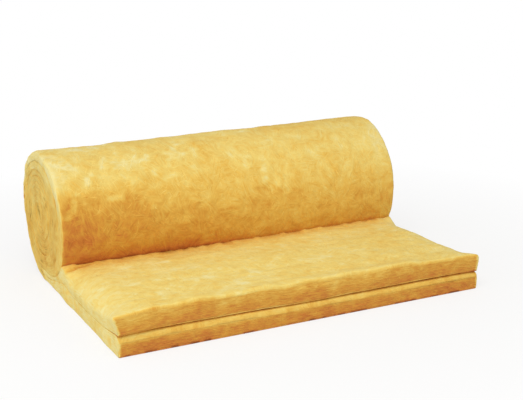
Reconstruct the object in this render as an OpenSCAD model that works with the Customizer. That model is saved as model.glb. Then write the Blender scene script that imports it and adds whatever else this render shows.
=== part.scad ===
// A roll of yellow glass wool, partly unrolled.
// Two mats of one width are wound up together. Their free ends lie flat in front of the roll, one on the other.
// The lower mat is the outer one in the roll. Section plane: Y is depth, Z is height. X runs along the roll.

/* [Mats] */
// Width of the mats, which is also the length of the roll
mat_w = 1200; // [600:10:1250]
// Thickness of one mat where it lies free
mat_t = 60; // [50:1:70]
// Radius of the upper mat's soft front edge
edge_r = 22; // [5:1:30]

/* [Roll] */
// Radius of the roll's outer face
roll_r = 215; // [195:1:260]
// Turns that each mat makes inside the roll
turns = 4.4; // [2.4:0.1:6.4]
// Height of both mats together where the roll presses them on the floor
pressed_t = 38; // [24:1:50]
// Radius at which the tightly wound core starts
core_r = 176; // [160:1:178]
// How far the core sits behind the roll's centre
core_back = 20; // [0:1:22]
// Radius at which the winding ends, round the eye at the middle of the core
eye_r = 4; // [2:1:20]

/* [Free end] */
// Length of the free end, from under the roll's centre to its cut edge
free_l = 700; // [450:10:1500]
// Height of the free end where it meets the front of the roll
crease_h = 104; // [92:1:112]
// Length over which the lower mat swells to its free thickness
swell_l = 260; // [200:10:400]

/* [Hidden] */

// Points on one turn of a mat's outline, and along a curve of the free end
per_turn = 72;
per_curve = 12;
per_edge = 6;

// The origin is on the floor, midway between the back of the roll and the cut edge
roll_c = [(free_l - roll_r) / 2, roll_r];
front_y = roll_c.x - free_l;
core_c = [roll_c.x + core_back, pressed_t + core_r];

// How much tighter the turns get towards the middle: 1 is an even winding
tightening = 1.25;

// The part of a turn, counted from the floor, at which the roll's face comes down on the free end
crease_turn = 0.75 + asin((roll_r - crease_h) / roll_r) / 360;

// A step from 0 to 1 with soft ends
function ease(t) = let (c = max(0, min(1, t))) c * c * (3 - 2 * c);

// Direction from the roll's centre after some turns: floor, back, top, front
function spoke(turn) = [sin(360 * turn), -cos(360 * turn)];

// Radius of the core's spiral, which starts after the first turn
function spiral_r(turn) = eye_r + (core_r - eye_r) * pow(1 - (turn - 1) / turns, tightening);

// The outer face of the winding: a circle down to the crease, which then eases into the core's spiral
function face(turn) =
    let (inside = ease((turn - crease_turn) / (1 - crease_turn)))
    let (outer_point = roll_c + roll_r * spoke(turn))
    let (core_point = core_c + spiral_r(min(turn, turns + 1)) * spoke(turn))
    (1 - inside) * outer_point + inside * core_point;

// The seam between the mats lies midway between one turn's outer face and the next one's
function seam(turn) = (face(turn) + face(turn + 1)) / 2;

// Points of a winding curve, both ends included
function wound_face(from, to) =
    let (n = ceil(abs(to - from) * per_turn))
    [for (i = [0 : n]) face(from + (to - from) * i / n)];
function wound_seam(from, to) =
    let (n = ceil(abs(to - from) * per_turn))
    [for (i = [0 : n]) seam(from + (to - from) * i / n)];

// Points of a soft rise from one point towards the front, up to height h over length l
function rise(start, h, l) =
    [for (i = [1 : per_curve]) [start.x - l * i / per_curve, start.y + (h - start.y) * ease(i / per_curve)]];

function reversed(points) = [for (i = [len(points) - 1 : -1 : 0]) points[i]];

// The seam in the free end, from the roll to the cut edge
free_seam = concat(rise(seam(0), mat_t, swell_l), [[front_y, mat_t]]);

// The top of the free end, from the crease to the soft front edge
free_top = rise(face(crease_turn), 2 * mat_t, swell_l);
soft_edge = [for (i = [0 : per_edge])
    let (a = 90 + 90 * i / per_edge)
    [front_y + edge_r, 2 * mat_t - edge_r] + edge_r * [cos(a), sin(a)]];

// Stands a section in the YZ plane up along the roll's length
module along_roll() {
    rotate([90, 0, 90]) linear_extrude(height = mat_w, center = true) children();
}

module lower_mat() {
    color("goldenrod") along_roll() polygon(concat(
        [[front_y, 0]],
        wound_face(0, turns),
        wound_seam(turns, 0),
        free_seam));
}

module upper_mat() {
    color("khaki") along_roll() polygon(concat(
        reversed(free_seam),
        wound_seam(0, turns),
        wound_face(turns + 1, crease_turn),
        free_top,
        soft_edge));
}

lower_mat();
upper_mat();
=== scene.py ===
import math

import bpy
import numpy as np
from mathutils import Matrix, Vector


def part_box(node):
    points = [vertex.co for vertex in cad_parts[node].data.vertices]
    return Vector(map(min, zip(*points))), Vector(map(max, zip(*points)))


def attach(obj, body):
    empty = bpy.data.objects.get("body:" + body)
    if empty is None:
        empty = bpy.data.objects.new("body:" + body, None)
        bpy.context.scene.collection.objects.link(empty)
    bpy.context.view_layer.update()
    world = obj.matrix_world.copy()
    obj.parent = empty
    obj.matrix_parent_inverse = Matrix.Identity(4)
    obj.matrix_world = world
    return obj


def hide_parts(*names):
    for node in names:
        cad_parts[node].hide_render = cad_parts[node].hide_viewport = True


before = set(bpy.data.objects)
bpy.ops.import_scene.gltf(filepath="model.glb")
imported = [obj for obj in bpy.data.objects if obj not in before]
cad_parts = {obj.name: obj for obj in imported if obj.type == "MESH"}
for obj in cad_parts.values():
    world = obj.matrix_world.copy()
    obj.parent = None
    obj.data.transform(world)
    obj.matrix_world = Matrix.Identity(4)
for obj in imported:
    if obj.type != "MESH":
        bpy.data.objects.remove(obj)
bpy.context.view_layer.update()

# Sizes in metres. X runs along the roll, -Y towards the cut front edge, Z up from the floor.
LOW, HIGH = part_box("lower_mat")
HALF_WIDTH = (HIGH.x - LOW.x) / 2
ROLL_R = (HIGH.z - LOW.z) / 2
ROLL_C = np.array([HIGH.y - ROLL_R, ROLL_R])
FRONT_Y = LOW.y

# The winding, as the solids have it
MAT_T = 0.060
TURNS = 4.4
PRESSED_T = 0.038
CORE_R = 0.176
CORE_BACK = 0.020
EYE_R = 0.004
TIGHTENING = 1.25
CREASE_H = 0.104
SWELL_L = 0.260
TAU = 2 * math.pi
CORE_C = np.array([ROLL_C[0] + CORE_BACK, PRESSED_T + CORE_R])
CREASE_TURN = 0.75 + math.asin((ROLL_R - CREASE_H) / ROLL_R) / TAU

# Radii of the soft edges of a cut front: along its top, along its foot and at both its ends
LOWER_FRONT = {"top": 0.018, "foot": 0.005, "ends": 0.003}
UPPER_FRONT = {"top": 0.009, "foot": 0.004, "ends": 0.004}

# Extra rounding of the roll's rim, and the most of a mat's thickness that a rounding takes
RIM_R = 0.0065
MOST_ROUNDING = 0.42

# Mesh density: points across a face that shows and a hidden one, round a corner, and down a cut edge
FINE_X, COARSE_X = 236, 9
CORNER_N, EDGE_N = 3, 8
# Distance from row to row on shown and hidden faces, and the mean radius of the hidden turns
STEP_SHOWN, STEP_HIDDEN = 0.005, 0.0075
HIDDEN_R = 0.12
# Rows round a soft front edge, rows there fine on both faces, rows in the open seam, and steps under the roll
ROUND_ROWS, FRONT_ROWS, LIP_ROWS, UNDER_STEPS = 7, 9, 8, 33
# How far past the crease the roll's face is made like one that shows, in turns
PAST_CREASE = 0.03

rng = np.random.default_rng(7)


# Curves

def ease(t):
    """A step from 0 to 1 with soft ends."""
    c = np.clip(t, 0, 1)
    return c * c * (3 - 2 * c)


def fade(value, none, full):
    """A step with soft ends, from 0 at the value none to 1 at the value full."""
    return ease((value - none) / (full - none))


def bell(value, width, power=2):
    """1 where the value is 0, and less the further it is from there."""
    return np.exp(-((value / width) ** power))


def spoke(turn):
    """Direction from the roll's centre after some turns: floor, back, top, front."""
    return np.stack([np.sin(TAU * turn), -np.cos(TAU * turn)], -1)


def face(turn):
    """The outer face of the winding: a circle down to the crease, then the core's spiral."""
    turn = np.asarray(turn, float)
    inside = fade(turn, CREASE_TURN, 1)[..., None]
    left = np.clip(1 - (turn - 1) / TURNS, 0, None)
    spiral = (EYE_R + (CORE_R - EYE_R) * left**TIGHTENING)[..., None]
    return (1 - inside) * (ROLL_C + ROLL_R * spoke(turn)) + inside * (CORE_C + spiral * spoke(turn))


def seam(turn):
    """The seam between the two mats, midway between one turn's outer face and the next one's."""
    turn = np.asarray(turn, float)
    return (face(turn) + face(turn + 1)) / 2


CREASE_Y = face(CREASE_TURN)[0]


def swelling(start, height, y):
    """Height of a free end's curve, which rises from a point of the roll towards the front."""
    return start[1] + (height - start[1]) * fade(y, start[0], start[0] - SWELL_L)


def free_seam(y):
    return swelling(seam(0.0), MAT_T, y)


def free_top(y):
    return swelling(face(CREASE_TURN), 2 * MAT_T, y)


def length_along(line):
    """Lengths from a line's start to each of its points."""
    return np.concatenate([[0], np.cumsum(np.linalg.norm(np.diff(line, axis=0), axis=1))])


# Noise

LATTICE = rng.uniform(-1, 1, 8192)
# What scatters the cells over the lattice, and the distance between two seeds in cells
SCATTER = (73856093, 19349663, 83492791)
SEED_STEP = 37.7


def noise(points, cell, seed):
    """Smooth noise from -1 to 1 that changes over about one cell, in metres along each axis."""
    q = np.asarray(points, float) / cell + SEED_STEP * (seed + 1)
    base = np.floor(q).astype(np.int64)
    f = q - base
    f = f * f * f * (f * (f * 6 - 15) + 10)
    total = np.zeros(q.shape[:-1])
    for corner in np.ndindex(2, 2, 2):
        at = (base + corner) * SCATTER
        key = at[..., 0] ^ at[..., 1] ^ at[..., 2]
        weight = np.prod(np.where(corner, f, 1 - f), axis=-1)
        total += weight * LATTICE[key % len(LATTICE)]
    return total


def waves(points, *layers):
    """Layers of noise on top of each other, each with its amount, cell and seed."""
    return sum(amount * noise(points, cell, seed) for amount, cell, seed in layers)


# Rows of the mats: each row is a slice across a mat, from its cut front edge to the eye.
# Face a is the underside of a free end and looks out of the roll. Face b is the other.

def front_steps(radius, last_y):
    """Distances behind the cut edge: close together round its soft edge, then even up to last_y."""
    quarter = radius * (1 - np.cos(np.linspace(0, math.pi / 2, ROUND_ROWS)))
    rest = np.arange(radius + STEP_SHOWN, last_y - FRONT_Y, STEP_SHOWN)
    return np.concatenate([quarter, rest])


def inset(behind, radius):
    """How far a soft edge lies inside its full face, at a distance behind the cut edge."""
    left = np.clip(radius - behind, 0, None)
    return radius - np.sqrt(np.clip(radius**2 - left**2, 0, None))


def turn_steps(first, last, step, radius):
    """Turns after the first, up to the last, about a step apart at this radius."""
    count = int(math.ceil(abs(last - first) * TAU * radius / step))
    return np.linspace(first, last, count + 1)[1:]


def edge_rounding(turn):
    """Radius of a mat's edges on the ends: less where the roll presses the mats, more by the eye."""
    pressed = bell(turn - 0.02, 0.16) + bell(turn - 0.98, 0.12)
    under = (turn > -1) & (turn < 0)
    by_eye = fade(turn, TURNS - 0.8, TURNS - 0.2)
    return 0.0026 - 0.0020 * np.clip(pressed + under, 0, 1) + 0.0040 * by_eye


def free_rows(radii, last_y, low_line, high_line):
    """Rows of a free end between two lines, up to last_y: face a, face b and half the width."""
    behind = front_steps(radii["top"], last_y)
    y = FRONT_Y + behind
    a = np.stack([y, low_line(y) + inset(behind, radii["foot"])], -1)
    b = np.stack([y, high_line(y) - inset(behind, radii["top"])], -1)
    return a, b, HALF_WIDTH - inset(behind, radii["ends"])


def lower_rows():
    free_a, free_b, free_half = free_rows(LOWER_FRONT, ROLL_C[0], lambda y: 0 * y, free_seam)
    n_free = len(free_a)
    shown = turn_steps(0, CREASE_TURN + PAST_CREASE, STEP_SHOWN, ROLL_R)
    hidden = turn_steps(shown[-1], TURNS, STEP_HIDDEN, HIDDEN_R)
    wound = np.concatenate([[0.0], shown, hidden])
    a = np.concatenate([free_a, face(wound)])
    turn = np.concatenate([np.full(n_free, -1.0), wound])
    k = np.arange(len(a))
    free = k < n_free
    roll = ~free & (k <= n_free + len(shown))
    rim = np.where(turn >= 0, fade(turn, 0.84, 0.77), fade(a[:, 0] - FRONT_Y, 0.4, 0.7))
    return {
        "a": a,
        "b": np.concatenate([free_b, seam(wound)]),
        "turn": turn,
        "half": np.concatenate([free_half, np.full(len(wound), HALF_WIDTH)]),
        "fine_a": (k < FRONT_ROWS) | roll,
        "fine_b": k < FRONT_ROWS,
        "round_a": edge_rounding(turn) + RIM_R * rim,
        "round_b": edge_rounding(turn),
        "region": np.where(free, "under", np.where(roll, "shown", "hidden")),
    }


def upper_rows():
    free_a, free_b, free_half = free_rows(UPPER_FRONT, CREASE_Y, free_seam, free_top)
    n_free = len(free_a)
    under = np.linspace(0, 1, UNDER_STEPS + 1)[:-1]
    under_y = CREASE_Y + (seam(0.0)[0] - CREASE_Y) * under
    under_a = np.stack([under_y, free_seam(under_y)], -1)
    under_b = face(CREASE_TURN + (1 - CREASE_TURN) * under)
    wound = np.concatenate([[0.0], turn_steps(0, TURNS, STEP_HIDDEN, HIDDEN_R)])
    a = np.concatenate([free_a, under_a, seam(wound)])
    b = np.concatenate([free_b, under_b, face(wound + 1)])
    turn = np.concatenate([np.full(n_free, -1.0), under - 1, wound])
    k = np.arange(len(a))
    soft_side = 0.011 + 0.008 * fade(a[:, 0] - FRONT_Y, 0.02, 0.10)
    before_crease = fade(b[:, 0], CREASE_Y, CREASE_Y - 0.06)
    return {
        "a": a,
        "b": b,
        "turn": turn,
        "half": np.concatenate([free_half, np.full(len(under) + len(wound), HALF_WIDTH)]),
        "fine_a": k < FRONT_ROWS,
        "fine_b": k < n_free + 4,
        "round_a": edge_rounding(turn),
        "round_b": np.where(k < n_free, 0.001 + soft_side * before_crease, edge_rounding(turn)),
        "region": np.where(k < n_free + 3, "shown", "hidden"),
    }


# Places of the faces on the map that the materials are baked through: left, bottom, right, top

BAKE_SHOWN = (0.005, 0.005, 0.995, 0.50)
BAKE_RIGHT = (0.005, 0.51, 0.495, 0.74)
BAKE_LEFT = (0.505, 0.51, 0.995, 0.74)
BAKE_FRONT = (0.005, 0.75, 0.995, 0.82)
BAKE_UNDER = (0.005, 0.83, 0.33, 0.995)
BAKE_HIDDEN_A = (0.34, 0.83, 0.66, 0.995)
BAKE_HIDDEN_B = (0.67, 0.83, 0.995, 0.995)

# Where the grain starts on the right edge, the left edge and the cut front
GRAIN_RIGHT, GRAIN_LEFT, GRAIN_FRONT = 3.0, 5.0, 7.0


def placed(rect, u, v):
    """Points of a map: u and v from 0 to 1 inside a rectangle."""
    left, bottom, right, top = rect
    return np.stack([left + (right - left) * u, bottom + (top - bottom) * v], -1)


def section_place(rect, yz):
    """An end's points on its own part of the map, laid out as the section lies."""
    u = (yz[:, 0] - LOW.y) / (HIGH.y - LOW.y)
    v = yz[:, 1] / (2 * ROLL_R)
    return placed(rect, np.clip(u, 0, 1), np.clip(v, 0, 1))


# Plain meshes of the mats

def quads_between(a, b):
    """Corners of the faces between two lines of as many points."""
    return np.stack([a[:-1], a[1:], b[1:], b[:-1]], 1)


class MeshParts:
    """Points and faces of one mesh, with places along the wool and on the bake map for each corner."""

    def __init__(self):
        self.points, self.normals, self.info = [], [], []
        self.faces, self.grain, self.bake = [], [], []
        self.count = 0

    def add_points(self, points, normals, info):
        self.points.append(points)
        self.normals.append(normals)
        self.info.append(info)
        self.count += len(points)
        return np.arange(self.count - len(points), self.count)

    def add_strip(self, first, second):
        """Faces between two lines of points. Each has the points' numbers, grain and bake places, and how far
        along they lie, which joins lines of different lengths."""
        if len(first[0]) == len(second[0]):
            faces, grain, bake = (quads_between(b, a) for a, b in zip(first[:3], second[:3]))
            self.faces += faces.tolist()
            self.grain.append(grain.reshape(-1, 2))
            self.bake.append(bake.reshape(-1, 2))
            return
        along_a, along_b = first[3], second[3]
        last_a, last_b = len(along_a) - 1, len(along_b) - 1
        i = j = 0
        while i < last_a or j < last_b:
            if j == last_b or (i < last_a and along_a[i + 1] <= along_b[j + 1]):
                corners = ((second, j), (first, i + 1), (first, i))
                i += 1
            else:
                corners = ((second, j), (second, j + 1), (first, i))
                j += 1
            self.faces.append([int(line[0][at]) for line, at in corners])
            self.grain.append(np.array([line[1][at] for line, at in corners]))
            self.bake.append(np.array([line[2][at] for line, at in corners]))


def side_profile(thick, half, r_a, r_b):
    """Points down a cut edge, from face a to face b: X, depth below face a, and their normals."""
    corner = np.linspace(0, math.pi / 2, CORNER_N + 1)
    into, out = corner[1:], corner[:-1]
    fall = np.linspace(0, 1, EDGE_N + 2)[1:-1]
    x_a, d_a = half - r_a + r_a * np.sin(into), r_a - r_a * np.cos(into)
    x_e, d_e = np.full(EDGE_N, half), r_a + (thick - r_a - r_b) * fall
    x_b, d_b = half - r_b + r_b * np.cos(out), thick - r_b + r_b * np.sin(out)
    n_x = np.concatenate([np.sin(into), np.ones(EDGE_N), np.cos(out)])
    n_d = np.concatenate([-np.cos(into), np.zeros(EDGE_N), np.sin(out)])
    return np.concatenate([x_a, x_e, x_b]), np.concatenate([d_a, d_e, d_b]), n_x, n_d


def add_row(parts, rows, k, thick, into):
    """One row's points, as a closed line: face a, the right edge, face b and the left edge."""
    half = rows["half"][k]
    r_a = min(rows["round_a"][k], MOST_ROUNDING * thick)
    r_b = min(rows["round_b"][k], MOST_ROUNDING * thick)
    x_a = np.linspace(-1, 1, FINE_X if rows["fine_a"][k] else COARSE_X) * (half - r_a)
    x_b = np.linspace(1, -1, FINE_X if rows["fine_b"][k] else COARSE_X) * (half - r_b)
    x_s, d_s, nx_s, nd_s = side_profile(thick, half, r_a, r_b)
    x = np.concatenate([x_a, x_s, x_b, -x_s[::-1]])
    d = np.concatenate([0 * x_a, d_s, 0 * x_b + thick, d_s[::-1]])
    n_x = np.concatenate([0 * x_a, nx_s, 0 * x_b, -nx_s[::-1]])
    n_d = np.concatenate([0 * x_a - 1, nd_s, 0 * x_b + 1, nd_s[::-1]])
    yz = rows["a"][k] + d[:, None] * into
    normals = np.column_stack([n_x, n_d[:, None] * into])
    info = np.column_stack([np.full(len(x), k), d / thick, n_x, n_d])
    end_a = len(x_a)
    start_b = end_a + len(x_s)
    end_b = start_b + len(x_b)
    return {
        "i": parts.add_points(np.column_stack([x, yz]), normals, info),
        "x": x, "d": d, "yz": yz,
        "a": np.arange(end_a),
        "right": np.arange(end_a - 1, start_b + 1),
        "b": np.arange(start_b, end_b),
        "left": np.concatenate([np.arange(end_b - 1, len(x)), [0]]),
    }


def bake_rect(name, region, shown_face):
    """The part of the bake map for one of a mat's two faces."""
    if region == "shown" and name == shown_face:
        return BAKE_SHOWN
    if name == "b":
        return BAKE_HIDDEN_B
    return BAKE_UNDER if region == "under" else BAKE_HIDDEN_A


def mat_mesh(rows, lower):
    """One mat's points and faces, before it is softened, and the grids of points that show."""
    parts = MeshParts()
    a, b = rows["a"], rows["b"]
    thick = np.linalg.norm(b - a, axis=1)
    into = (b - a) / thick[:, None]
    lines = [add_row(parts, rows, k, thick[k], into[k]) for k in range(len(a))]
    shown_face = "a" if lower else "b"
    middle = length_along((a + b) / 2)
    face_length = {"a": length_along(a), "b": length_along(b)}
    shown = np.flatnonzero(rows["region"] == "shown")
    shown_length = (middle - middle[shown[0]]) / (middle[shown[-1]] + 1e-6 - middle[shown[0]])

    def strip_line(name, row, region):
        """One row's part of a strip of faces."""
        line, pick = lines[row], lines[row][name]
        x = line["x"][pick]
        if name in ("a", "b"):
            rect = bake_rect(name, region, shown_face)
            v = shown_length[row] if rect is BAKE_SHOWN else middle[row] / middle[-1]
            bake = placed(rect, (x + HALF_WIDTH) / (2 * HALF_WIDTH), np.full(len(x), v))
            grain = np.column_stack([np.full(len(x), face_length[name][row]), x])
            if rect is BAKE_SHOWN and not lower:
                grain = grain[:, ::-1]
        else:
            right = name == "right"
            bake = section_place(BAKE_RIGHT if right else BAKE_LEFT, line["yz"][pick])
            down = length_along(np.column_stack([x, line["d"][pick]]))
            down += GRAIN_RIGHT if right else GRAIN_LEFT
            grain = np.column_stack([np.full(len(x), middle[row]), down])
        return line["i"][pick], grain, bake, x if name == "a" else -x

    for k in range(len(a) - 1):
        for name in ("a", "right", "b", "left"):
            region = rows["region"][k]
            parts.add_strip(strip_line(name, k, region), strip_line(name, k + 1, region))
    front = front_cap(parts, lines[0], a[0], into[0], thick[0])
    eye_cap(parts, lines[-1])

    def grid(name, chosen):
        return np.array([line["i"][line[name]] for line in chosen])

    return parts, {
        "front": front,
        "shown": grid(shown_face, [lines[k] for k in shown if rows["fine_" + shown_face][k]]),
        "lip": grid("b", lines[:LIP_ROWS]),
        "right": grid("right", lines),
        "left": grid("left", lines),
    }


def front_cap(parts, line, a, into, thick):
    """The cut front face: a grid inside the first row."""
    left, right = line["left"][::-1], line["right"]
    index = line["i"]
    grid = [index[line["a"]]]
    for lp, rp in zip(left[1:-1], right[1:-1]):
        x = np.linspace(line["x"][lp], line["x"][rp], FINE_X)[1:-1]
        d = np.linspace(line["d"][lp], line["d"][rp], FINE_X)[1:-1]
        points = np.column_stack([x, a + d[:, None] * into])
        normals = np.tile([0.0, -1.0, 0.0], (len(x), 1))
        info = np.column_stack([np.full(len(x), -1), d / thick, 0 * x, 0 * x])
        i = parts.add_points(points, normals, info)
        grid.append(np.concatenate([[index[lp]], i, [index[rp]]]))
    grid.append(index[line["b"]][::-1])
    grid = np.array(grid)
    x = np.linspace(-HALF_WIDTH, HALF_WIDTH, FINE_X)
    strip_lines = []
    for share, numbers in zip(np.linspace(0, 1, len(grid)), grid):
        up = np.full(FINE_X, share)
        grain = np.column_stack([x, up * MAT_T + GRAIN_FRONT])
        strip_lines.append((numbers, grain, placed(BAKE_FRONT, (x / HALF_WIDTH + 1) / 2, up), None))
    for low, high in zip(strip_lines[:-1], strip_lines[1:]):
        parts.add_strip(high, low)
    return grid


def eye_cap(parts, line):
    """The mat's inner end, which the eye of the winding hides: one strip from face to face."""
    index = line["i"]
    left, right = index[line["left"]][::-1], index[line["right"]]
    between = [np.array(pair) for pair in zip(left[1:-1], right[1:-1])]
    grid = [index[line["a"]], *between, index[line["b"]][::-1]]

    def strip_line(numbers):
        along = np.linspace(0, 1, len(numbers))
        place = placed(BAKE_HIDDEN_B, along, np.full(len(numbers), 0.99))
        return numbers, place, place, along

    for low, high in zip(grid[:-1], grid[1:]):
        parts.add_strip(strip_line(low), strip_line(high))


# Softening: what makes the plain mats into wool

# The slit that the eye is pressed into: its place from the core's middle, direction and size
SLIT_OFF = np.array([0.028, 0.007])
SLIT_ALONG = np.array([0.63, 0.777])
SLIT_ACROSS = np.array([0.777, -0.63])
SLIT_DEPTH = 0.014
SLIT_WIDTH = 0.005
SLIT_BEND = 0.003

# The fold by the crease's left end: its reach to the front, where it ends, and over which length
FOLD_REACH = 0.028
FOLD_END = -0.42
FOLD_LENGTH = 0.16

# The free end: share of its height lost along its side edges and gained at the left of its front
SIDE_PRESSED = 0.26
LEFT_THICKER = 0.10

# How far the cut fronts part at the seam, and how far the upper one's corners lean out
SEAM_DOWN = -0.0006
SEAM_UP = 0.0018
LEFT_LEAN = -0.017
RIGHT_LEAN = 0.006


class MatPoints:
    """A mat's points, with where each lies in the mat and which way it faces."""

    def __init__(self, parts, rows):
        self.p = np.concatenate(parts.points)
        self.normal = np.concatenate(parts.normals)
        row, self.depth, self.n_x, self.n_d = np.concatenate(parts.info).T
        row = row.astype(int)
        self.cap = row < 0
        self.turn = np.where(self.cap, -1, rows["turn"][np.clip(row, 0, None)])
        self.free = self.turn < 0
        self.wound = ~self.free
        self.roll = self.wound & (self.turn < CREASE_TURN + 0.05)

    x = property(lambda self: self.p[:, 0])
    z = property(lambda self: self.p[:, 2])
    # Height as a share of the roll's
    height = property(lambda self: self.z / (2 * ROLL_R))
    # Distances behind the cut edge, in front of the crease, and from the nearer side edge
    behind = property(lambda self: self.p[:, 1] - FRONT_Y)
    ahead = property(lambda self: CREASE_Y - self.p[:, 1])
    side = property(lambda self: (HALF_WIDTH - np.abs(self.x)).clip(0))
    # Points that differ only along the roll
    along = property(lambda self: np.column_stack([self.x, 0 * self.x, 0 * self.x]))


def section_warp(yz):
    """Makes the core's turns a little uneven, moves the eye back and presses it into a slit."""
    from_core = yz - CORE_C
    r = np.linalg.norm(from_core, axis=-1)[..., None]
    flat = np.concatenate([yz, 0 * r], -1)
    drift = 0.0045 * np.stack([noise(flat, 0.06, 11), noise(flat, 0.06, 12)], -1)
    along = (from_core @ SLIT_ALONG)[..., None] * SLIT_ALONG
    across = (from_core @ SLIT_ACROSS)[..., None] * SLIT_ACROSS
    pressed = bell(r, 0.035) * (0.25 * along - 0.55 * across)
    return yz + fade(r, 0.185, 0.125) * (drift + bell(r, 0.085) * SLIT_OFF + pressed)


def slit_depth(yz):
    """From 0 to 1: how far points of an end lie in the slit, which bends like an S."""
    from_slit = yz - CORE_C - SLIT_OFF
    along = from_slit @ SLIT_ALONG
    across = from_slit @ SLIT_ACROSS - SLIT_BEND * np.sin(along / 0.008)
    return bell(across, SLIT_WIDTH) * fade(np.abs(along), 0.0288, 0.0108)


def face_relief(mat, lower):
    """Lumps on the faces that show, a bulge of the roll at the crease, and streaks on the free end."""
    lumps = waves(mat.p, (0.0022, 0.13, 1), (0.0019, 0.055, 2), (0.0012, 0.022, 3))
    if lower:
        shows = (mat.n_d < 0) & mat.wound & (mat.turn <= CREASE_TURN + PAST_CREASE)
        bulge = 0.0030 * fade(mat.turn, CREASE_TURN - 0.02, CREASE_TURN) * fade(mat.side, 0.004, 0.024)
        calm = 1 - 0.7 * fade(mat.turn, CREASE_TURN - 0.03, CREASE_TURN)
        relief = lumps * fade(mat.z, 0.004, 0.054) * calm + bulge
    else:
        shows = (mat.n_d > 0) & mat.free & (mat.ahead > -0.005)
        streaks = waves(mat.p, (0.0025, (0.30, 0.06, 0.1), 4), (0.0016, (0.12, 0.022, 0.1), 5))
        relief = (0.4 + 0.6 * fade(mat.ahead, 0, 0.05)) * (0.6 * lumps + streaks)
    return np.where(shows, mat.n_d**2 * relief, 0)


def end_relief(mat, lower):
    """On the ends each edge swells and is ragged, and the core's turns sit a little deeper."""
    turn = mat.turn
    swell = 0.0020 * (1 - (2 * mat.depth - 1) ** 2)
    deeper = -0.002 * fade(turn, 0.95, 1.45) + 0.0010 * np.sin(3.1 * turn + mat.n_x) * (turn > 0.9)
    ragged = waves(mat.p, (0.0024, 0.09, 6), (0.0010, 0.03, 7), (0.0005, 0.012, 8))
    if lower:
        ragged *= 1 + 0.8 * fade(turn, 0.8, 0.7) * fade(turn, 0.1, 0.2)
    return np.where(mat.cap, 0, mat.n_x**2 * (swell + deeper + ragged))


def cut_relief(mat):
    """Ridges along the layers on the cut front face."""
    cut = waves(mat.p, (0.0018, (0.12, 0.1, 0.05), 9), (0.0008, (0.05, 0.1, 0.008), 10))
    return np.where(mat.cap, cut, 0)


def warp_winding(mat):
    """Bends the turns inside the roll's outer face, and sinks the slit into both ends."""
    inner = (mat.turn > 0.86) | (mat.wound & (mat.n_d != -1))
    mat.p[:, 1:] = np.where(inner[:, None], section_warp(mat.p[:, 1:]), mat.p[:, 1:])
    sunk = SLIT_DEPTH * slit_depth(mat.p[:, 1:]) * (mat.turn > 1)
    mat.p[:, 0] -= np.sign(mat.x) * mat.n_x**2 * sunk


def press_side_edges(mat):
    """Along its side edges the free end is thinner, as the mats were squeezed there."""
    in_front = fade(mat.behind, -0.06, 0.18) * (1 - 0.95 * fade(mat.ahead, 0.10, 0))
    below_roll = fade(mat.ahead, -0.16, -0.02) * fade(mat.z, 0.30, 0.14)
    mat.p[:, 2] *= 1 - SIDE_PRESSED * in_front * below_roll * bell(mat.side, 0.038, 1.5)


def thicken_left_front(mat):
    share = mat.free * fade(mat.x, 0.05, -0.45) * fade(mat.behind, 0.30, 0)
    mat.p[:, 2] += LEFT_THICKER * share * np.minimum(mat.z, MAT_T)


def open_front_seam(mat, lower):
    """The mats part unevenly where the seam meets the cut edge."""
    gap = 0.6 + 0.7 * mat.x + waves(mat.along, (0.7, 0.11, 25), (0.5, 0.04, 26))
    if lower:
        lift = SEAM_DOWN * fade(mat.z, 0.03, 0.06)
    else:
        lift = SEAM_UP * fade(mat.z, 2 * MAT_T - 0.035, 2 * MAT_T - 0.065)
    mat.p[:, 2] += fade(mat.behind, 0.06, 0) * lift * np.clip(gap, 0, None)


def shape_front_edge(mat):
    """The upper mat's cut edge is uneven, and its corners lean out a little."""
    x, along = mat.x.copy(), mat.along
    near = fade(mat.behind, 0.08, 0)
    high = fade(mat.z, MAT_T, 2 * MAT_T)
    corner = bell(mat.side, 0.04)
    wave = 0.003 + waves(along, (0.007, 0.16, 21), (0.004, 0.07, 22))
    wave += 0.006 * fade(x, 0.01, 0.06) * fade(x, 0.5, 0.3)
    back = 0.002 + waves(along, (0.003, 0.2, 23), (0.002, 0.08, 24))
    mat.p[:, 0] += near * high * corner * np.where(x < 0, LEFT_LEAN, RIGHT_LEAN)
    mat.p[:, 1] += near * (1 - corner) * back
    mat.p[:, 2] += near * high * wave


def crease_fold(mat):
    """The fold by the crease's left end: how far points lie on its strip, and in the line that ends it."""
    reach = FOLD_REACH * fade(mat.x, FOLD_END, FOLD_END - FOLD_LENGTH)
    reach = reach * (1 + 0.3 * noise(mat.along, 0.03, 45))
    strip = fade(mat.ahead, reach + 0.004, reach - 0.004) * fade(reach, 0, 0.012)
    line = bell(mat.ahead - reach, 0.005) * fade(mat.x, FOLD_END - 0.07, FOLD_END - 0.12)
    return strip, line


def raise_crease_lip(mat):
    """Along the crease the roll pushes the free end's top face up, and by its left end into a fold."""
    top = (mat.n_d > 0) & mat.free
    lip = 0.001 + waves(mat.along, (0.004, 0.06, 27), (0.005, 0.020, 28))
    mat.p[:, 2] += top * bell(mat.ahead - 0.006, 0.014) * np.clip(lip, -0.002, 0.010)
    strip, line = crease_fold(mat)
    mat.p[:, 2] += top * (0.003 * strip - 0.005 * line)


def soften(mat, lower):
    """Moves the plain mat's points, which stay on or above the floor."""
    move = face_relief(mat, lower) + end_relief(mat, lower) + cut_relief(mat)
    mat.p += mat.normal * move[:, None]
    warp_winding(mat)
    press_side_edges(mat)
    thicken_left_front(mat)
    open_front_seam(mat, lower)
    if not lower:
        shape_front_edge(mat)
        raise_crease_lip(mat)
    mat.p[:, 2] = np.maximum(mat.z, 0.0)


# Tints. A tint goes from 0, pale straw, to 1, dark brown. The combed share says how far fibres lie in layers,
# the lemon share how far the colour is lemon, and the shade how far it is darkened as in a gap.
# The shade is painted shade throughout, and some tints are painted shade or painted highlight, as noted where
# they are made.

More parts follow.
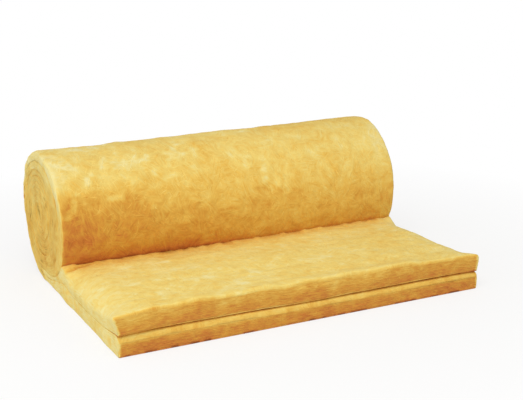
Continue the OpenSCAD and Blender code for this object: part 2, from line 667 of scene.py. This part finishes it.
HIDDEN_TINT = 0.38
MARGIN_TINT = 0.14
# Tint of the painted shade inside the open seam
SEAM_SHADE_TINT = 0.85


def loose_wool(mat):
    """Pale patches of loose wool on the faces that show, fewer towards the right."""
    patches = waves(mat.p, (0.9, (0.06, 0.045, 0.045), 39), (0.8, 0.020, 40)) - 0.45
    return np.clip(patches, 0, 0.6) * (1 - 0.7 * fade(mat.x, 0.05, 0.30))


def towards_left(mat):
    return fade(mat.x, 0.2, -0.6)


def roll_tint(mat):
    """The roll's face: browner low down, on the left, along the crease and by the left rim, and paler low on
    the right. Low down, on the left and along the crease this is painted shade, and low on the right painted
    light.
    """
    x, turn, height = mat.x, mat.turn, mat.height
    left = towards_left(mat)
    # Painted shade: a brown band along the crease, darkest right at it, where the roll meets the free end
    crease = (0.07 + 0.15 * left) * fade(turn, CREASE_TURN - 0.05, CREASE_TURN)
    crease += (0.12 + 0.13 * left) * fade(turn, CREASE_TURN - 0.016, CREASE_TURN - 0.002)
    # Painted shade: browner towards the bottom of the roll, where less light falls
    tint = 0.28 + 0.30 * fade(height, 0.94, 0.24)
    tint += crease * fade(np.abs(x), HALF_WIDTH + 0.006, HALF_WIDTH - 0.024)
    # Painted shade: browner at mid height on the left, away from the light
    tint += 0.14 * left * fade(height, 0.86, 0.71) * fade(height, 0.2, 0.5)
    tint += 0.13 * bell(HALF_WIDTH + x, 0.09) * fade(height, 0.84, 0.68) * fade(height, 0.25, 0.55)
    # Painted light: paler low down on the right, towards the light
    tint -= 0.13 * fade(x, -0.20, 0.20) * fade(height, 0.55, 0.30)
    tint -= 0.05 * fade(x, -0.2, -0.5) * fade(height, 0.70, 0.90)
    tint -= 0.38 * loose_wool(mat) * fade(height, 0.40, 0.65)
    return np.where(mat.roll, tint, HIDDEN_TINT)


def free_tint(mat):
    """The free end's top: browner by the crease, painted shade where the roll shades it, browner on its fold
    with painted shade in the groove that ends it, and paler along the side edges.
    """
    right = fade(mat.x, -0.1, 0.4)
    reach = (0.042 - 0.016 * right) * (1 + waves(mat.along, (0.5, 0.08, 37), (0.4, 0.03, 38)))
    # Painted shade: browner in front of the crease, where the roll shades the free end
    tint = 0.225 + (0.32 - 0.08 * right) * bell(mat.ahead.clip(0), reach, 1.2)
    tint += 0.7 * bell(mat.side, 0.05, 1.5) * (MARGIN_TINT - tint)
    strip, line = crease_fold(mat)
    # Painted shade in the groove that ends the fold, and a browner strip on the fold itself
    tint += 0.10 * strip + 0.26 * line - 0.30 * loose_wool(mat)
    return np.where(mat.free, tint, HIDDEN_TINT)


def end_share(mat):
    """How far points lie on an end, with a patchy border, and the patches."""
    patchy = waves(mat.p, (1, 0.035, 35), (0.6, 0.014, 36))
    return ease((np.abs(mat.n_x) - 0.60 + 0.25 * patchy) / 0.4), patchy


def core_share(mat, lower):
    """How far points belong to the core and not to the outer turn."""
    if lower:
        return fade(mat.turn, 0.8, 1.1)
    return fade(mat.turn, 0.02, 0.10) * (1 - 0.5 * fade(mat.turn, 1, 0.7) * fade(mat.height, 0.7, 0.9))


def end_tint(mat, core, patchy):
    """The ends: browner in the core, partly painted shade, and palest on the outer turn's upper half, a
    painted highlight where the rounded rim catches the light.
    """
    high = fade(mat.height, 0.50, 0.80)
    tint = 0.24 - 0.16 * mat.free - 0.13 * high + 0.07 * patchy + 0.12 * core
    # Painted highlight: the outer turn paler towards its top, where the rounded rim catches the light
    outer = 0.06 * fade(mat.height, 0.62, 0.47) - 0.12 * high
    return tint + mat.wound * ((1 - core) * outer - 0.03 * fade(mat.height, 0.40, 0.20))


def gap_shade(mat, core):
    """Painted shade on the ends: dark patches between the turns, and a darker core."""
    gap_shadow = np.clip(waves(mat.p, (1.6, 0.030, 41), (1.0, 0.010, 42)) - 0.55, 0, 0.7)
    gap_shadow *= fade(np.minimum(mat.depth, 1 - mat.depth), 0.20, 0.06) * (mat.turn > 0)
    return 0.8 * gap_shadow + (0.02 + 0.08 * core) * mat.wound


def fringe_paling(mat, patchy):
    """Pale fringes along the roll's rims, wider and paler at the top, where the paling is partly a painted
    highlight.
    """
    fringe = bell(mat.side, 0.014 + 0.016 * fade(mat.height, 0.55, 0.85), 1) * mat.wound
    return fringe * np.clip(0.5 + 0.6 * patchy, 0, 1) * (0.04 + 0.22 * fade(mat.height, 0.62, 0.82))


def paint_front(values, mat, end, lower):
    """The cut fronts: brown, deeper towards their feet, with a paler, more lemon strip just below the seam on
    the lower front, a painted highlight on its rounded top edge, and painted shade on the upper front's foot
    by the seam.
    """
    up = mat.z / MAT_T - (0 if lower else 1)
    rounding = 0.016 if lower else 0.007
    front = np.where(mat.cap, 1.0, fade(mat.behind, rounding, 0) * (1 - end))
    values["tint"] += front * (0.52 + 0.16 * fade(up, 0.95, 0.25) - values["tint"])
    if lower:
        # Painted highlight: a paler strip on the lower front's rounded top edge, which keeps some lemon
        strip = fade(up, 0.60, 0.75) * fade(mat.behind, 0.022, 0.018) * (1 - end) * mat.free
        values["tint"] += 0.045 * front - 0.16 * strip
        values["lemon"] *= 1 - front * (1 - 0.6 * fade(up, 0.6, 0.9))
    else:
        # Painted shade: browner at the upper front's foot, by the open seam
        values["tint"] += (0.24 + 0.2 * mat.x) * front * fade(up, 0.10, 0.02)
        values["lemon"] *= 1 - front


def paint_seam(values, mat, end, lower):
    """Painted shade: the open seam between the cut fronts is darkened inside."""
    in_seam = (mat.n_d > 0.3) if lower else (mat.n_d < -0.3)
    in_seam = in_seam * fade(mat.behind, 0.004, 0.010) * fade(mat.behind, 0.10, 0.05) * (1 - end) * mat.free
    if lower:
        in_seam *= fade(mat.behind, 0.006, 0.011)
    values["tint"] += in_seam * (SEAM_SHADE_TINT - values["tint"])
    values["lemon"] *= 1 - in_seam


def floor_contact_shadow(mat):
    """Painted contact shadow: dark dashes where the lower front meets the floor."""
    at_floor = fade(mat.z, 0.0098, 0.0028) * fade(mat.behind, 0.012, 0)
    return at_floor * np.clip(waves(mat.along, (1.4, 0.020, 33), (0.8, 0.009, 34)) - 0.15, 0, 0.42)


def wool_values(mat, lower):
    """Each point's tint, combed share, lemon share and shade."""
    end, patchy = end_share(mat)
    core = core_share(mat, lower)
    tint = roll_tint(mat) if lower else free_tint(mat)
    lemon = 0 if lower else np.where(mat.free, 0.9 - 0.6 * fade(mat.x, -0.35, 0.35), 0)
    values = {
        "tint": tint * (1 - end) + end * end_tint(mat, core, patchy),
        "combed": np.where(mat.cap, 1.0, end),
        "lemon": lemon * (1 - end) + end,
        # Painted shade: between the turns on the ends, in the darker core and in the slit
        "shade": end * gap_shade(mat, core) + 0.95 * slit_depth(mat.p[:, 1:]) * (mat.turn > 1),
    }
    if lower:
        # Painted shade: the roll's upper half is darkened, more on the left
        upper_half = mat.roll * (1 - end) * fade(mat.height, 0.35, 0.60)
        values["shade"] += upper_half * (0.04 + 0.06 * towards_left(mat))
        values["tint"] -= 0.02 * upper_half + (1 - end) * fringe_paling(mat, patchy)
    paint_front(values, mat, end, lower)
    paint_seam(values, mat, end, lower)
    if lower:
        values["tint"] += floor_contact_shadow(mat)
    values["tint"] += 0.05 * noise(mat.p, 0.15, 31)
    values["shade"] = np.clip(values["shade"], 0, 1)
    return values


# Mats

def add_object(name, data):
    made = bpy.data.objects.new(name, data)
    bpy.context.scene.collection.objects.link(made)
    return made


def mesh_object(name, points, faces, grain, bake, values):
    mesh = bpy.data.meshes.new(name)
    mesh.from_pydata(points.tolist(), [], faces)
    for layer, places in (("grain", grain), ("OFBake", bake)):
        flat = places.astype(np.float32).ravel()
        mesh.uv_layers.new(name=layer).data.foreach_set("uv", flat)
    for key, value in values.items():
        attribute = mesh.attributes.new(key, "FLOAT", "POINT")
        attribute.data.foreach_set("value", np.asarray(value, np.float32))
    mesh.polygons.foreach_set("use_smooth", np.ones(len(faces), bool))
    mesh.update()
    return add_object(name, mesh)


def make_mat(name, rows, lower):
    """A mat's piece, and its grids that show: points, normals, tints and lemon shares."""
    parts, grids = mat_mesh(rows, lower)
    mat = MatPoints(parts, rows)
    soften(mat, lower)
    points, values = mat.p, wool_values(mat, lower)
    grain, bake = np.concatenate(parts.grain), np.concatenate(parts.bake)
    piece = mesh_object(name, points, parts.faces, grain, bake, values)
    normals = np.zeros(len(points) * 3, np.float32)
    piece.data.vertices.foreach_get("normal", normals)
    layers = points, normals.reshape(-1, 3), values["tint"], values["lemon"]
    return piece, {key: [layer[grid] for layer in layers] for key, grid in grids.items()}


# Materials

class Nodes:
    """Short calls for building the nodes of a material or a world."""

    def __init__(self, owner):
        owner.use_nodes = True
        self.tree = owner.node_tree
        self.tree.nodes.clear()

    def add(self, kind, *inputs, **settings):
        made = self.tree.nodes.new(kind)
        for key, value in settings.items():
            if key[0].islower():
                setattr(made, key, value)
            else:
                self.feed(made.inputs[key.replace("_", " ")], value)
        for socket, value in zip(made.inputs, inputs):
            if value is not None:
                self.feed(socket, value)
        return made

    def feed(self, socket, value):
        if isinstance(value, bpy.types.NodeSocket):
            self.tree.links.new(value, socket)
        else:
            socket.default_value = value

    def math(self, operation, *values):
        return self.add("ShaderNodeMath", *values, operation=operation).outputs[0]

    def vector(self, operation, *values):
        return self.add("ShaderNodeVectorMath", *values, operation=operation).outputs[0]

    def stretch(self, value, low, high, to_low=0.0):
        return self.add("ShaderNodeMapRange", value, low, high, to_low, 1.0).outputs[0]

    def mix(self, share, first, second):
        return self.add("ShaderNodeMix", share, None, first, second).outputs[0]

    def multiplied(self, share, first, second):
        return self.add("ShaderNodeMixRGB", share, first, (*second, 1), blend_type="MULTIPLY").outputs[0]

    def attribute(self, name):
        return self.add("ShaderNodeAttribute", attribute_name=name).outputs["Fac"]

    def noise(self, vector, scale, detail):
        made = self.add("ShaderNodeTexNoise", Vector=vector, Scale=scale, Detail=detail, Roughness=0.55)
        return made.outputs[0]

    def bent(self, vector, scale, detail, amount):
        """Places moved about by noise, by up to half the amount each way."""
        moved = self.add("ShaderNodeTexNoise", Vector=vector, Scale=scale, Detail=detail).outputs["Color"]
        moved = self.vector("SUBTRACT", moved, (0.5, 0.5, 0.5))
        return self.vector("MULTIPLY_ADD", moved, amount, vector)

    def strokes(self, vector, angle, along, across, detail):
        """Noise drawn out into strokes: lengths in metres along and across them."""
        turn, size = (0, 0, math.radians(angle)), (along, across, 1)
        made = self.add("ShaderNodeMapping", vector, vector_type="TEXTURE", Rotation=turn, Scale=size)
        return self.noise(made.outputs[0], 1.0, detail)


# Colours of the wool by tint, pale to deep, as linear values
WOOL = [
    (-0.20, (0.90, 0.81, 0.43)),
    (0.00, (0.88, 0.76, 0.335)),
    (0.20, (0.865, 0.66, 0.190)),
    (0.40, (0.82, 0.525, 0.105)),
    (0.60, (0.71, 0.358, 0.054)),
    (0.80, (0.61, 0.210, 0.042)),
    (1.00, (0.42, 0.125, 0.025)),
    (1.30, (0.14, 0.040, 0.012)),
]
PALEST, DEEPEST = WOOL[0][0], WOOL[-1][0]
# What the lemon parts' colours, and those with painted shade in gaps, slits, the core and the roll's upper
# half, are multiplied by
LEMON = (0.985, 1.0, 0.99)
SHADE = (0.22, 0.16, 0.12)

# Fibres, coarse to fine: length, width and detail in patches, length and width where combed, their share in
# the tint, and the height in metres that they add
FIBRES = [
    {"patches": (0.065, 0.0090, 3.0), "combed": (0.045, 0.0042), "share": -0.16, "height": 0.0012},
    {"patches": (0.045, 0.0040, 2.0), "combed": (0.024, 0.0022), "share": -0.12, "height": 0.0006},
    {"patches": (0.030, 0.0014, 2.0), "combed": (0.012, 0.0010), "share": -0.09, "height": 0.0003},
]
# What combing adds to their share, the directions of the patches in degrees, and the scales of their borders
COMBED_SHARE = -0.08
PATCH_ANGLES = (8, 42, 90, -32)
PATCH_SCALES = (17.0, 23.0, 13.0)


def wool_material(name):
    """Wool: its tint, blotches, and fibres in patches of four directions, or in layers where it is combed."""
    material = bpy.data.materials.new(name)
    n = Nodes(material)
    combed = n.attribute("combed")
    grain = n.add("ShaderNodeUVMap", uv_map="grain").outputs[0]
    place = n.add("ShaderNodeTexCoord").outputs["Object"]
    blotch = n.noise(place, 30.0, 4.0)
    patch = n.noise(place, 10.0, 3.0)
    swayed = n.bent(grain, 9.0, 1.0, (0.05, 0.05, 0.0))
    ruffled = n.bent(grain, 45.0, 2.0, (0.012, 0.007, 0.0))
    borders = [n.stretch(n.noise(swayed, scale, 1.0), 0.46, 0.54) for scale in PATCH_SCALES]

    def fibres(size, combed_size):
        one, two, three, four = (n.strokes(swayed, angle, *size) for angle in PATCH_ANGLES)
        patches = n.mix(borders[2], n.mix(borders[0], one, two), n.mix(borders[1], three, four))
        layers = n.strokes(ruffled, 0, *combed_size, 3.0)
        return n.mix(combed, n.stretch(patches, 0.30, 0.70), n.stretch(layers, 0.30, 0.70))

    shares = [(blotch, 0.42), (patch, 0.34)]
    height = n.math("MULTIPLY", blotch, 0.006)
    for kind in FIBRES:
        source = fibres(kind["patches"], kind["combed"])
        shares.append((source, n.math("MULTIPLY_ADD", combed, COMBED_SHARE, kind["share"])))
        height = n.math("MULTIPLY_ADD", source, kind["height"], height)
    tint = n.attribute("tint")
    for source, share in shares:
        tint = n.math("MULTIPLY_ADD", n.math("SUBTRACT", source, 0.5), share, tint)

    ramp = n.add("ShaderNodeValToRGB", n.stretch(tint, PALEST, DEEPEST))
    while len(ramp.color_ramp.elements) < len(WOOL):
        ramp.color_ramp.elements.new(0.5)
    for element, (at, colour) in zip(ramp.color_ramp.elements, WOOL):
        element.position = (at - PALEST) / (DEEPEST - PALEST)
        element.color = (*colour, 1)
    colour = n.multiplied(n.attribute("lemon"), ramp.outputs[0], LEMON)
    colour = n.multiplied(n.attribute("shade"), colour, SHADE)
    bump = n.add("ShaderNodeBump", Strength=0.8, Distance=1.0, Height=height)
    shader = n.add("ShaderNodeBsdfPrincipled", colour, Normal=bump.outputs[0], Roughness=0.95,
                   Specular_IOR_Level=0.08, Sheen_Weight=0.05, Sheen_Roughness=0.6)
    n.add("ShaderNodeOutputMaterial", shader.outputs[0])
    return material


# Loose fibres on the faces that show

WISP_POINTS = 5
WISP_TAPER = (0, 0.75, 1, 0.75, 0)
# Cosine of the most that the face under a wisp may turn from one of its points to the next
WISP_BEND = 0.965
# How deep a wisp's edges lie in the wool, how far their shading leans to the side, and how combed it is
WISP_SINK = 0.0003
WISP_LEAN = 0.30
WISP_COMBED = 0.7


def bilinear(values, i, j):
    """Values of a grid at places between its points."""
    i0 = np.clip(np.floor(i).astype(int), 0, values.shape[0] - 2)
    j0 = np.clip(np.floor(j).astype(int), 0, values.shape[1] - 2)
    fi, fj = i - i0, j - j0
    if values.ndim == 3:
        fi, fj = fi[..., None], fj[..., None]
    top = values[i0, j0] * (1 - fj) + values[i0, j0 + 1] * fj
    low = values[i0 + 1, j0] * (1 - fj) + values[i0 + 1, j0 + 1] * fj
    return top * (1 - fi) + low * fi


def wisp_paths(grid, count, length, spread, angle=0, first=0, last=0, sides=0):
    """Paths of wisps on a grid of points, clear of its first and last rows and of the columns at its sides.
    The angle is in degrees from a row."""
    points, normals, tint, lemon = grid
    d_i = np.linalg.norm(np.diff(points, axis=0), axis=-1).mean()
    d_j = np.linalg.norm(np.diff(points, axis=1), axis=-1).mean()
    size = rng.uniform(*length, count)
    turn = np.radians(angle + rng.normal(0, spread, count))
    bend = rng.normal(0, 0.6, count)
    t = np.linspace(-0.5, 0.5, WISP_POINTS)
    way = turn[:, None] + bend[:, None] * t
    step_i, step_j = np.sin(way) * size[:, None] / d_i, np.cos(way) * size[:, None] / d_j
    i = rng.uniform(0, points.shape[0] - 1, count)[:, None] + t * step_i
    j = rng.uniform(0, points.shape[1] - 1, count)[:, None] + t * step_j
    inside = (i.min(1) > first) & (i.max(1) < points.shape[0] - 1 - last)
    inside &= (j.min(1) > sides) & (j.max(1) < points.shape[1] - 1 - sides)
    i, j, size = i[inside], j[inside], size[inside]
    n = bilinear(normals, i, j)
    n /= np.linalg.norm(n, axis=-1, keepdims=True) + 1e-9
    even = (n[:, 1:] * n[:, :-1]).sum(-1).min(1) > WISP_BEND
    i, j, n, size = i[even], j[even], n[even], size[even]
    return bilinear(points, i, j), n, bilinear(tint, i, j), bilinear(lemon, i, j), size


def tuft_paths(grid, count, length):
    """Paths of tufts that stand up along the last rows of a grid."""
    points, _, tint, _ = grid
    i = points.shape[0] - 2 - rng.uniform(0, 2.5, count)
    j = 1 + rng.uniform(0, 1, count) * (points.shape[1] - 3)
    size = rng.uniform(*length, count)
    lean = np.column_stack([rng.normal(0, 1.5, count), rng.normal(0.1, 0.3, count), np.ones(count)])
    lean /= np.linalg.norm(lean, axis=1, keepdims=True)
    t = np.linspace(-0.3, 0.7, WISP_POINTS)
    p = bilinear(points, i, j)[:, None] + (lean * size[:, None])[:, None] * t[None, :, None]
    p[..., 2] -= 0.35 * size[:, None] * np.clip(t, 0, None) ** 2
    n = np.tile(np.array([0.0, -1.0, 0.3]) / np.hypot(1.0, 0.3), (count, WISP_POINTS, 1))
    tint = np.repeat(bilinear(tint, i, j)[:, None], WISP_POINTS, 1)
    return p, n, tint, np.zeros(tint.shape), size


def wisp_faces(count, per):
    """Triangles at both tips and quads between the rings of wisps that have this many points each."""
    last = per - 1
    tris = [[0, 1, 2], [0, 2, 3], [0, 3, 1]]
    tris += [[last, last - 2, last - 3], [last, last - 1, last - 2], [last, last - 3, last - 1]]
    quads = []
    for ring in range(1, per - 4, 3):
        for i, following in ((0, 1), (1, 2), (2, 0)):
            quads.append([ring + i, ring + 3 + i, ring + 3 + following, ring + following])
    starts = np.arange(count)[:, None, None] * per
    return (starts + np.array(tris)).reshape(-1, 3), (starts + np.array(quads)).reshape(-1, 4)


def wisp_mesh(name, paths, width, tone, rise=(0.05, 0.10), lying=True):
    """Low tapered wisps as one mesh. Lying ones have their edges just under the face they rest on, and are
    shaded as a part of it. The tone is a mean and a spread of tints, and the rise a share of the width."""
    p, n, tint, lemon, size = (np.concatenate(layer) for layer in zip(*paths))
    count = len(p)
    along = np.gradient(p, axis=1)
    along /= np.linalg.norm(along, axis=-1, keepdims=True) + 1e-9
    across = np.cross(n, along)
    w = rng.uniform(*width, count)[:, None, None] * np.array(WISP_TAPER)[None, :, None]
    h = rng.uniform(*rise, count)[:, None, None] * w
    sunk = p - n * WISP_SINK
    rings = np.stack([sunk - across * w / 2, p + n * h, sunk + across * w / 2], 2)[:, 1:-1]
    points = np.concatenate([sunk[:, :1], rings.reshape(count, -1, 3), sunk[:, -1:]], 1)
    per = points.shape[1]
    tris, quads = wisp_faces(count, per)
    corners = np.concatenate([tris.ravel(), quads.ravel()])

    t = np.repeat(np.linspace(-0.5, 0.5, WISP_POINTS), [1] + [3] * (WISP_POINTS - 2) + [1])
    side = np.concatenate([[0], np.tile([-0.5, 0, 0.5], WISP_POINTS - 2), [0]])
    grain = np.stack([t * size[:, None], side * w.max(axis=1)], -1) + rng.uniform(0, 40, (count, 1, 2))
    cells = int(math.ceil(math.sqrt(count)))
    cell = np.stack([np.arange(count) % cells, np.arange(count) // cells], -1)
    bake = (cell[:, None] + 0.5 + 0.8 * np.stack([t, side], -1)) / cells

    flat = points.reshape(-1, 3)
    flat[:, 2] = np.maximum(flat[:, 2], 0.0)
    values = {
        "tint": np.repeat(tint.mean(1) + rng.normal(*tone, count), per),
        "combed": np.full(len(flat), WISP_COMBED),
        "lemon": np.repeat(lemon.mean(1), per),
        "shade": np.zeros(len(flat)),
    }
    grain, bake = grain.reshape(-1, 2)[corners], bake.reshape(-1, 2)[corners]
    piece = mesh_object(name, flat, tris.tolist() + quads.tolist(), grain, bake, values)
    if lying:
        tip = WISP_LEAN * across[:, 1:-1]
        ring_normals = np.stack([n[:, 1:-1] - tip, n[:, 1:-1], n[:, 1:-1] + tip], 2).reshape(count, -1, 3)
        shading = np.concatenate([n[:, :1], ring_normals, n[:, -1:]], 1).reshape(-1, 3)
        shading /= np.linalg.norm(shading, axis=1, keepdims=True)
        piece.data.normals_split_custom_set_from_vertices(shading.tolist())
    return piece


# Stage

# The floor: its reach to the front and sides, where it curves up at the back, its height, and the curve
FLOOR_REACH, FLOOR_BACK, FLOOR_HEIGHT = 12.0, 4.0, 6.0
CURVE_R, CURVE_POINTS = 2.0, 24
# Its grey in the light it throws back, and how white it looks near the part. Far away it is all white.
FLOOR_GREY = (0.86, 0.86, 0.86, 1)
WHITE_NEAR, NEAR, FAR = 0.76, 0.7, 1.7

WARM = (1.0, 0.97, 0.92)


def floor_material():
    material = bpy.data.materials.new("floor_white")
    n = Nodes(material)
    path = n.add("ShaderNodeLightPath")
    seen = n.math("MAXIMUM", path.outputs["Is Camera Ray"], path.outputs["Is Glossy Ray"])
    seen = n.math("MAXIMUM", seen, path.outputs["Is Transmission Ray"])
    plain = n.add("ShaderNodeBsdfDiffuse", FLOOR_GREY)
    glow = n.add("ShaderNodeEmission", (1, 1, 1, 1), 1.0)
    place = n.add("ShaderNodeTexCoord").outputs["Object"]
    away = n.add("ShaderNodeVectorMath", place, operation="LENGTH").outputs["Value"]
    share = n.math("MULTIPLY", seen, n.stretch(away, NEAR, FAR, WHITE_NEAR))
    mix = n.add("ShaderNodeMixShader", share, plain.outputs[0], glow.outputs[0])
    n.add("ShaderNodeOutputMaterial", mix.outputs[0])
    return material


def make_floor():
    mesh = bpy.data.meshes.new("floor")
    profile = [(-FLOOR_REACH, 0.0), (FLOOR_BACK, 0.0)]
    for angle in np.linspace(0, math.pi / 2, CURVE_POINTS)[1:]:
        profile.append((FLOOR_BACK + CURVE_R * math.sin(angle), CURVE_R - CURVE_R * math.cos(angle)))
    profile.append((FLOOR_BACK + CURVE_R, FLOOR_HEIGHT))
    points = [(x, y, z) for y, z in profile for x in (-FLOOR_REACH, FLOOR_REACH)]
    faces = [(2 * i, 2 * i + 1, 2 * i + 3, 2 * i + 2) for i in range(len(profile) - 1)]
    mesh.from_pydata(points, [], faces)
    mesh.materials.append(floor_material())
    floor = add_object("floor", mesh)


def make_world():
    """Soft light from all round, which the camera sees as white."""
    world = bpy.data.worlds.new("studio")
    bpy.context.scene.world = world
    n = Nodes(world)
    path = n.add("ShaderNodeLightPath")
    soft = n.add("ShaderNodeBackground", (1.0, 0.98, 0.95, 1), 0.50)
    white = n.add("ShaderNodeBackground", (1, 1, 1, 1), 1.0)
    mix = n.add("ShaderNodeMixShader", path.outputs["Is Camera Ray"], soft.outputs[0], white.outputs[0])
    n.add("ShaderNodeOutputWorld", mix.outputs[0])


def area_light(name, place, aim, size, power, colour=(1, 1, 1)):
    data = bpy.data.lights.new(name, "AREA")
    data.shape = "RECTANGLE"
    data.size, data.size_y = size
    data.energy = power
    data.color = colour
    light = add_object(name, data)
    light.location = place
    light.rotation_euler = (Vector(aim) - Vector(place)).to_track_quat("-Z", "Y").to_euler()


def make_lights():
    area_light("key", (-1.3, -1.7, 3.6), aim=(0.0, 0.0, 0.1), size=(2.4, 2.4), power=76, colour=WARM)
    area_light("fill", (1.6, -3.6, 1.8), aim=(0.0, 0.0, 0.2), size=(2.5, 2.0), power=21)
    area_light("side", (-3.4, -0.4, 1.3), aim=(-0.6, 0.0, 0.1), size=(1.6, 1.6), power=20, colour=WARM)


# The camera, from the photo's edges: place, heading towards +X, dip and roll in degrees, and focal length and
# frame width in pixels
CAMERA_PLACE = (-1.537, -3.2015, 1.262)
HEADING, DIP, TILT = 26.6, 15.8, 0.28
FOCAL_PIXELS, FRAME_PIXELS = 1138.0, 523.0


def turned(degrees, axis):
    return Matrix.Rotation(math.radians(degrees), 4, axis)


def make_camera():
    data = bpy.data.cameras.new("camera")
    data.sensor_width = 36.0
    data.lens = FOCAL_PIXELS / FRAME_PIXELS * data.sensor_width
    camera = add_object("camera", data)
    aim = turned(-HEADING, "Z") @ turned(90 - DIP, "X") @ turned(-TILT, "Z")
    camera.matrix_world = Matrix.Translation(CAMERA_PLACE) @ aim
    bpy.context.scene.camera = camera


make_camera()
make_world()
make_floor()
make_lights()

wool = wool_material("glass_wool")
lower, lower_grids = make_mat("lower_mat_wool", lower_rows(), True)
upper, upper_grids = make_mat("upper_mat_wool", upper_rows(), False)

roll_face = lower_grids["shown"]
free_face = upper_grids["shown"]
roll_wisps = wisp_mesh("roll_wisps", [
    wisp_paths(roll_face, 4600, (0.020, 0.050), angle=75, spread=38),
    wisp_paths(roll_face, 4000, (0.015, 0.045), angle=10, spread=45),
], width=(0.0018, 0.0055), tone=(-0.02, 0.04))
free_wisps = wisp_mesh("free_end_wisps", [
    wisp_paths(free_face, 4800, (0.020, 0.060), spread=28, first=2),
    wisp_paths(upper_grids["front"], 700, (0.02, 0.06), spread=8, first=3, last=3),
    wisp_paths(lower_grids["front"], 700, (0.02, 0.06), spread=6, first=3, last=3),
    wisp_paths(lower_grids["lip"], 300, (0.02, 0.05), spread=5, first=1, last=1),
], width=(0.0020, 0.0055), tone=(-0.015, 0.035))
crease_tufts = wisp_mesh("crease_tufts", [
    tuft_paths(free_face, 1500, (0.008, 0.020)),
    tuft_paths(free_face, 90, (0.016, 0.030)),
], width=(0.0008, 0.0022), tone=(-0.05, 0.06), rise=(0.15, 0.25), lying=False)
end_wisps = wisp_mesh("end_wisps", [
    wisp_paths(grids[side], 2200, (0.008, 0.026), angle=90, spread=12, first=4, last=60, sides=CORNER_N + 0.5)
    for grids in (lower_grids, upper_grids) for side in ("left", "right")
], width=(0.0012, 0.0035), tone=(-0.01, 0.05))
for piece in (lower, upper, roll_wisps, free_wisps, crease_tufts, end_wisps):
    piece.data.materials.append(wool)
    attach(piece, "root")
for piece, node in ((lower, "lower_mat"), (upper, "upper_mat")):
    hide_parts(node)

bpy.context.scene.view_settings.view_transform = "Standard"
